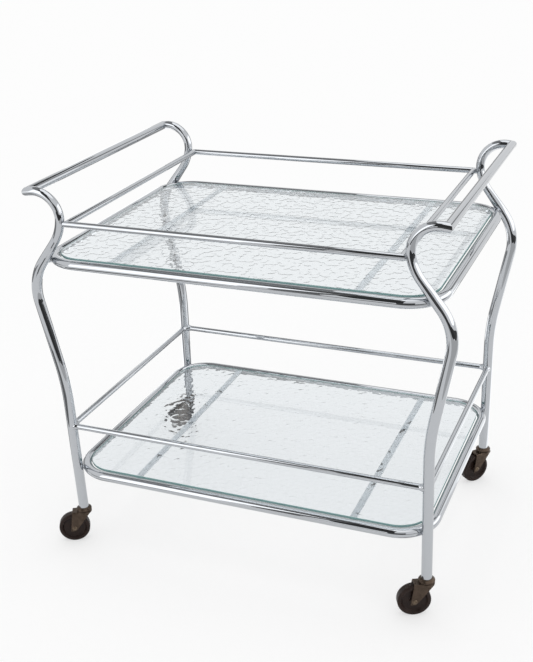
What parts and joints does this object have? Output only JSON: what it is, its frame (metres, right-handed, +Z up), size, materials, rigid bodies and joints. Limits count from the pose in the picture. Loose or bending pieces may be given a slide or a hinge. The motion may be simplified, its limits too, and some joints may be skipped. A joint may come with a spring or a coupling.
{
  "type": "serving trolley",
  "caption": "Serving trolley of bent chromed tube with two textured glass shelves, gallery rails, a push handle at each end and swivel casters.",
  "frame": {"origin": "on the floor, under the middle of the trolley", "axes": "+X along the length towards the right handle, +Y towards the back, +Z up"},
  "size_m": [0.7809, 0.5327, 0.724],
  "materials": {
    "chrome": "bright chromed steel tube",
    "strap": "flat steel strap under the glass",
    "brazing": "chromed brazed joint",
    "glass": "clear glass with a hammered surface and ground edges",
    "caster_metal": "dark bronzed steel",
    "rivet": "dark bronzed steel rivet",
    "steel": "plain steel",
    "wheel": "dark brown hard rubber"
  },
  "bodies": {
    "trolley": {"leg_front_left": "chrome", "leg_front_right": "chrome", "leg_back_left": "chrome", "leg_back_right": "chrome", "handle_left": "chrome", "handle_right": "chrome", "upper_frame": "chrome", "lower_frame": "chrome", "upper_frame_lugs": "brazing", "lower_frame_lugs": "brazing", "upper_strap_left": "strap", "upper_strap_right": "strap", "lower_strap_left": "strap", "lower_strap_right": "strap", "upper_glass": "glass", "lower_glass": "glass", "upper_rail_front": "chrome", "upper_rail_back": "chrome", "upper_rail_left": "chrome", "upper_rail_right": "chrome", "lower_rail_front": "chrome", "lower_rail_back": "chrome", "lower_rail_left": "chrome", "lower_rail_right": "chrome", "upper_rail_lugs": "brazing", "lower_rail_brazing": "brazing", "caster_sockets": "steel", "stem_front_left": "steel", "stem_front_right": "steel", "stem_back_left": "steel", "stem_back_right": "steel", "cap_front_left": "caster_metal", "cap_front_right": "caster_metal", "cap_back_left": "caster_metal", "cap_back_right": "caster_metal"},
    "caster_front_left": {"fork_front_left": "caster_metal", "axle_front_left": "rivet"},
    "wheel_front_left": {"wheel_front_left": "wheel"},
    "caster_front_right": {"fork_front_right": "caster_metal", "axle_front_right": "rivet"},
    "wheel_front_right": {"wheel_front_right": "wheel"},
    "caster_back_left": {"fork_back_left": "caster_metal", "axle_back_left": "rivet"},
    "wheel_back_left": {"wheel_back_left": "wheel"},
    "caster_back_right": {"fork_back_right": "caster_metal", "axle_back_right": "rivet"},
    "wheel_back_right": {"wheel_back_right": "wheel"}
  },
  "joints": [
    {"name": "swivel_front_left", "type": "hinge", "parent": "trolley", "child": "caster_front_left", "pos_m": [-0.3436, -0.2365, 0.0647], "axis": [0, 0, 1], "continuous": true},
    {"name": "spin_front_left", "type": "hinge", "parent": "caster_front_left", "child": "wheel_front_left", "pos_m": [-0.36284, -0.24717, 0.03], "axis": [0.4848, -0.8746, 0], "continuous": true},
    {"name": "swivel_front_right", "type": "hinge", "parent": "trolley", "child": "caster_front_right", "pos_m": [0.3436, -0.2365, 0.0647], "axis": [0, 0, 1], "continuous": true},
    {"name": "spin_front_right", "type": "hinge", "parent": "caster_front_right", "child": "wheel_front_right", "pos_m": [0.32383, -0.24614, 0.03], "axis": [0.4384, -0.8988, 0], "continuous": true},
    {"name": "swivel_back_left", "type": "hinge", "parent": "trolley", "child": "caster_back_left", "pos_m": [-0.3436, 0.2365, 0.0647], "axis": [0, 0, 1], "continuous": true},
    {"name": "spin_back_left", "type": "hinge", "parent": "caster_back_left", "child": "wheel_back_left", "pos_m": [-0.36427, 0.22898, 0.03], "axis": [0.342, -0.9397, 0], "continuous": true},
    {"name": "swivel_back_right", "type": "hinge", "parent": "trolley", "child": "caster_back_right", "pos_m": [0.3436, 0.2365, 0.0647], "axis": [0, 0, 1], "continuous": true},
    {"name": "spin_back_right", "type": "hinge", "parent": "caster_back_right", "child": "wheel_back_right", "pos_m": [0.32917, 0.2199, 0.03], "axis": [0.7547, -0.6561, 0], "continuous": true}
  ]
}
